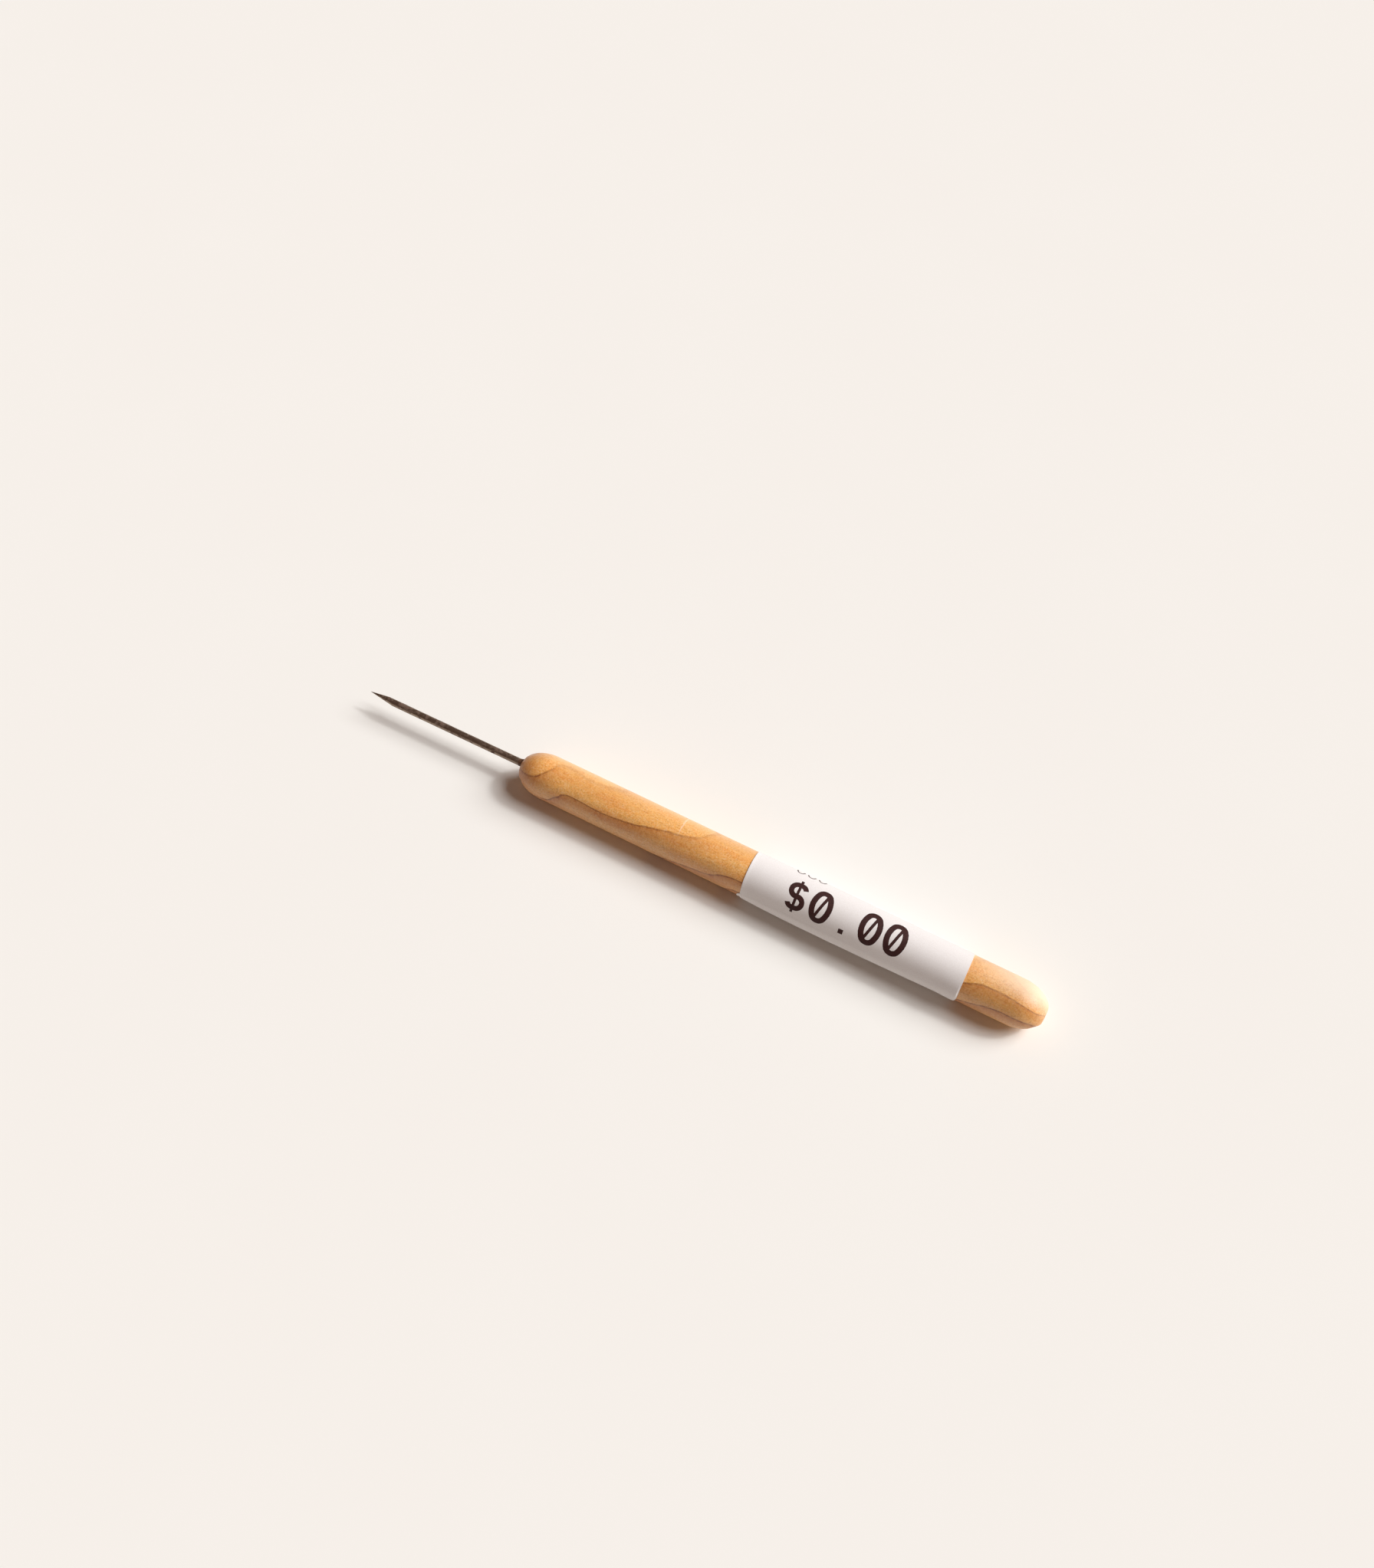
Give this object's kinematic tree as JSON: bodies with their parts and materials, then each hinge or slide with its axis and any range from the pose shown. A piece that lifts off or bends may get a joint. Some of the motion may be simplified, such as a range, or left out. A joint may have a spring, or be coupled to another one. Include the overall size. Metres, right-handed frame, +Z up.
{
  "type": "scratch awl",
  "caption": "Scratch awl: a ground steel spike glued into a slim round hardwood handle with rounded ends, with a paper price label wrapped round the grip.",
  "frame": {"origin": "under the middle of the awl, on the surface that it lies on", "axes": "+X along the awl from its point to its butt, +Z up as it lies on its side"},
  "size_m": [0.1618, 0.0106, 0.0102],
  "materials": {
    "wood_maple": "satin lacquer",
    "steel_spike": "drawn and ground, darkened, with traces of rust",
    "glue": "set hard, dark with steel dust",
    "label_paper": "matt coated thermal paper"
  },
  "bodies": {
    "root": {"handle": "wood_maple", "spike": "steel_spike", "tang_glue": "glue", "price_label": "label_paper"}
  },
  "joints": []
}
